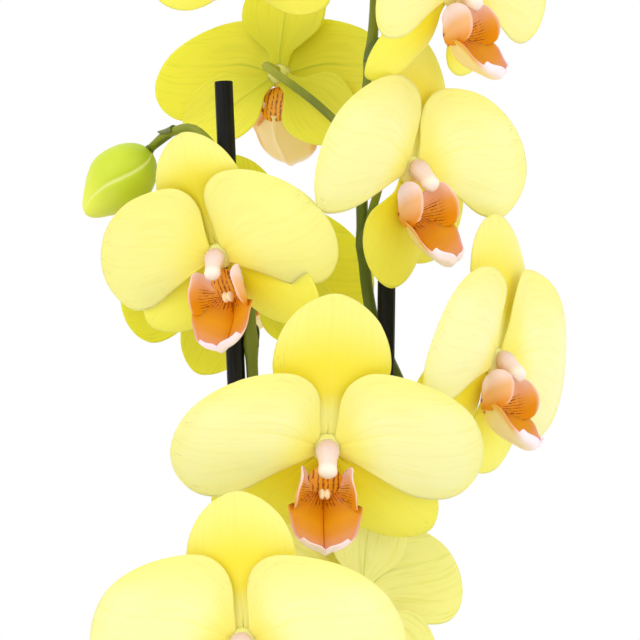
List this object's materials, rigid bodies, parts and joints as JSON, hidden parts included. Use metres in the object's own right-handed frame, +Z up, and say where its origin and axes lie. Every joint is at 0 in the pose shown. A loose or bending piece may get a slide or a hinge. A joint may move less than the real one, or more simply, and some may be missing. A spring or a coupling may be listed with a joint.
{
  "type": "potted orchid",
  "caption": "Moth orchid with two staked arching flower spikes of yellow blooms with orange lips, green buds, strap leaves and aerial roots, in bark in a plain tapered pot.",
  "frame": {"origin": "centre of the pot's flat foot, on the surface it stands on", "axes": "+Z up, -Y towards the front that most of the blooms face, +X to the right seen from the front"},
  "size_m": [0.3234, 0.1399, 0.597],
  "materials": {
    "pot": "white glazed ceramic, plain, satin gloss",
    "bark": "rough dark pine bark chips",
    "root": "matt grey-green aerial roots and short stem",
    "leaf": "dark green leathery leaf, satin",
    "stake": "black satin plant stake",
    "spike": "dark to olive green flower stem, satin",
    "bud": "yellow-green bud, satin",
    "tepal": "pale to strong yellow sepals and petals, soft and slightly see-through",
    "column": "pinkish white waxy column",
    "lip": "orange lip with pink edges and brown-red stripes, waxy"
  },
  "bodies": {
    "root": {"pot": "pot", "bark": "bark", "crown_with_roots": "root", "leaf_1": "leaf", "leaf_2": "leaf", "leaf_3": "leaf", "leaf_4": "leaf", "leaf_5": "leaf", "leaf_6": "leaf", "stake_left": "stake", "stake_right": "stake", "spike_left": "spike", "spike_right": "spike", "bud_left": "bud", "bud_right_1": "bud", "bud_right_2": "bud", "bloom_left_1_tepals": "tepal", "bloom_left_1_column": "column", "bloom_left_1_lip": "lip", "bloom_left_2_tepals": "tepal", "bloom_left_2_column": "column", "bloom_left_2_lip": "lip", "bloom_left_3_tepals": "tepal", "bloom_left_3_column": "column", "bloom_left_3_lip": "lip", "bloom_left_4_tepals": "tepal", "bloom_left_4_column": "column", "bloom_left_4_lip": "lip", "bloom_left_5_tepals": "tepal", "bloom_left_5_column": "column", "bloom_left_5_lip": "lip", "bloom_right_1_tepals": "tepal", "bloom_right_1_column": "column", "bloom_right_1_lip": "lip", "bloom_right_2_tepals": "tepal", "bloom_right_2_column": "column", "bloom_right_2_lip": "lip", "bloom_right_3_tepals": "tepal", "bloom_right_3_column": "column", "bloom_right_3_lip": "lip", "bloom_right_4_tepals": "tepal", "bloom_right_4_column": "column", "bloom_right_4_lip": "lip", "bloom_right_5_tepals": "tepal", "bloom_right_5_column": "column", "bloom_right_5_lip": "lip"}
  },
  "joints": []
}
